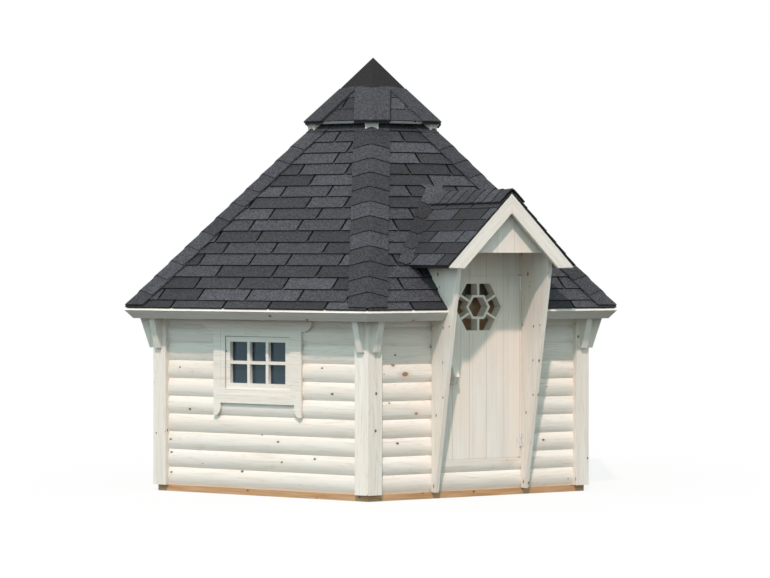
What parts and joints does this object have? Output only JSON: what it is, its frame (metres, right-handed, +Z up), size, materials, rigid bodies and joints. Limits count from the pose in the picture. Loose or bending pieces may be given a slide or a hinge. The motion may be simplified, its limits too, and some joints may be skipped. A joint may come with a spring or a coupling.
{
  "type": "hexagonal barbecue hut",
  "caption": "Hexagonal log hut with a steep shingled roof, a raised smoke cap and a gabled porch over a hinged door with a honeycomb window.",
  "frame": {"origin": "on the ground under the middle of the hut, on the underside of the middle floor joist", "axes": "+Z up, the door wall faces -Y, +X to the right seen from the front"},
  "size_m": [4.0216, 3.6923, 3.1449],
  "materials": {
    "white_log": "white glaze over round-faced pine logs",
    "white_trim": "white glaze over planed pine boards",
    "white_plank": "white glaze over upright pine planks",
    "treated_timber": "brown pressure-treated timber",
    "floor_boards": "bare pine boards",
    "roof_shingle": "grey mineral roofing shingles",
    "roof_metal": "dark grey painted sheet",
    "window_glass": "clear",
    "hinge_steel": "zinc plated"
  },
  "bodies": {
    "hut": {"bargeboard_left": "white_trim", "bargeboard_right": "white_trim", "base_beams": "treated_timber", "cap_blocks": "white_trim", "cap_cover": "roof_metal", "cap_fascia": "white_trim", "cap_roof": "roof_shingle", "corner_post_front_left": "white_trim", "corner_post_front_right": "white_trim", "corner_post_left": "white_trim", "corner_post_rear_left": "white_trim", "corner_post_rear_right": "white_trim", "corner_post_right": "white_trim", "door_header": "white_plank", "door_hinge_brackets": "hinge_steel", "door_threshold": "white_trim", "door_wall_left": "white_log", "door_wall_right": "white_log", "door_wall_sill": "white_log", "dormer_cheeks": "white_trim", "dormer_roof_left": "roof_shingle", "dormer_roof_right": "roof_shingle", "eave_brackets": "white_trim", "eave_fascia": "white_trim", "floor_deck": "floor_boards", "floor_joists": "treated_timber", "gable_panel": "white_plank", "porch_pillar_left": "white_trim", "porch_pillar_right": "white_trim", "roof_collar": "roof_shingle", "roof_panel_front": "roof_shingle", "roof_panel_front_left": "roof_shingle", "roof_panel_front_right": "roof_shingle", "roof_panel_rear": "roof_shingle", "roof_panel_rear_left": "roof_shingle", "roof_panel_rear_right": "roof_shingle", "wall_rear": "white_log", "wall_rear_left": "white_log", "wall_rear_right": "white_log", "window_casing_left": "white_trim", "window_casing_right": "white_trim", "window_frame_left": "white_trim", "window_frame_right": "white_trim", "window_glass_left": "window_glass", "window_glass_right": "window_glass", "window_sash_left": "white_trim", "window_sash_right": "white_trim", "window_wall_left": "white_log", "window_wall_right": "white_log"},
    "door": {"door_leaf": "white_plank", "door_lattice": "white_trim", "door_glass": "window_glass", "door_handle": "white_trim", "door_hinge_knuckles": "hinge_steel"}
  },
  "joints": [
    {"name": "door_hinge", "type": "hinge", "parent": "hut", "child": "door", "pos_m": [0.338, -1.52114, 0.9], "axis": [0, 0, 1], "range_deg": [0, 88]}
  ]
}
